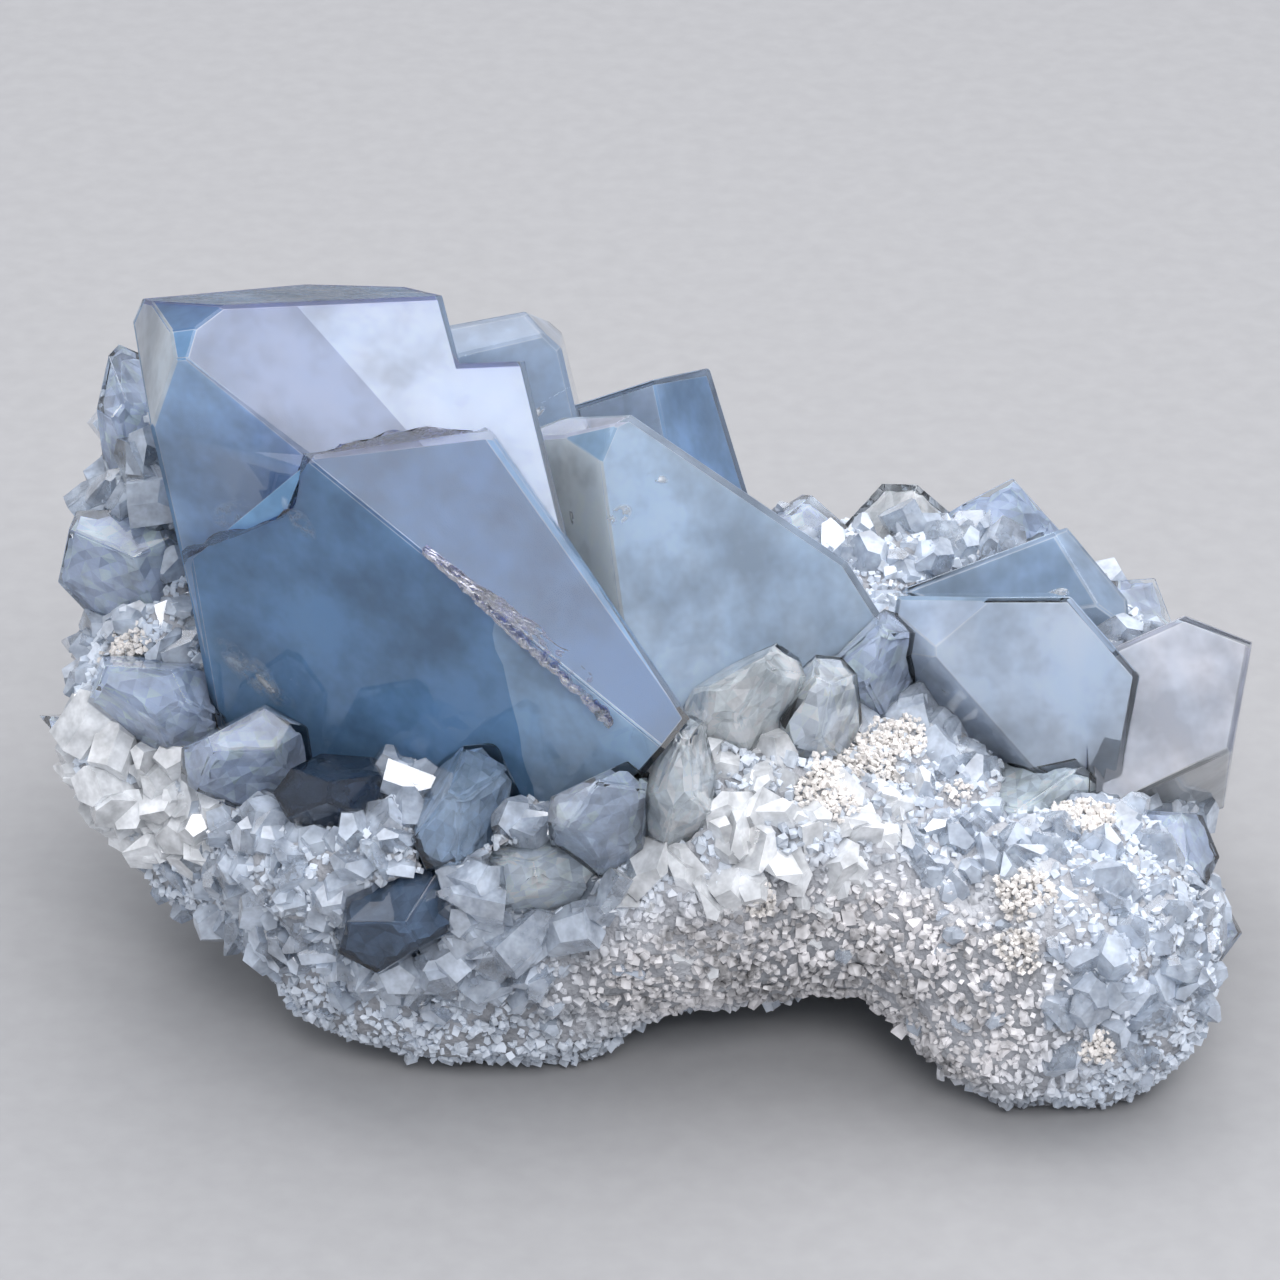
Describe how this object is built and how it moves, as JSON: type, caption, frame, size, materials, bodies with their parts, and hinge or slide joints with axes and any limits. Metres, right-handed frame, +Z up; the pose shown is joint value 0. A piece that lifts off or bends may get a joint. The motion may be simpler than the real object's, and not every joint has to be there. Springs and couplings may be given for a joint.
{
  "type": "celestite crystal cluster",
  "caption": "Hand-sized cluster of clear blue celestite crystals on a piece of sugary white geode wall, resting on flat spots under the wall.",
  "frame": {"origin": "middle of the outline seen from above, at the height of the flat spots that the cluster rests on", "axes": "+X to the right of the cluster with the great crystal at the left, +Y to its back, +Z up"},
  "size_m": [0.1004, 0.0608, 0.0628],
  "materials": {
    "sugary_wall": "matte",
    "deep_blue_celestite": "polished",
    "sky_blue_celestite": "polished",
    "pale_celestite": "polished"
  },
  "bodies": {
    "root": {"matrix": "sugary_wall", "great_crystal": "deep_blue_celestite", "middle_crystal": "sky_blue_celestite", "back_left_crystal": "sky_blue_celestite", "back_peak_crystal": "sky_blue_celestite", "right_crystal": "sky_blue_celestite", "right_rear_crystal": "pale_celestite", "far_right_crystal": "pale_celestite", "wall_crystal_upper": "pale_celestite", "wall_crystal_middle": "pale_celestite", "wall_crystal_lower": "pale_celestite", "wall_spur_crystal": "pale_celestite", "front_left_crystal": "pale_celestite", "window_crystal": "pale_celestite", "pool_crystal": "pale_celestite", "fan_crystal": "pale_celestite", "broken_crystal": "pale_celestite", "clear_crystal": "pale_celestite", "bright_crystal": "pale_celestite", "striated_crystal": "pale_celestite", "rounded_crystal": "pale_celestite", "grey_crystal": "pale_celestite", "ledge_crystal": "pale_celestite", "right_lower_crystal": "pale_celestite", "right_corner_crystal": "pale_celestite", "back_rim_left_crystal": "pale_celestite", "back_rim_white_crystal": "pale_celestite", "back_rim_right_crystal": "pale_celestite", "back_corner_crystal": "pale_celestite", "rear_crystal_low": "pale_celestite", "rear_crystal_high": "pale_celestite"}
  },
  "joints": []
}
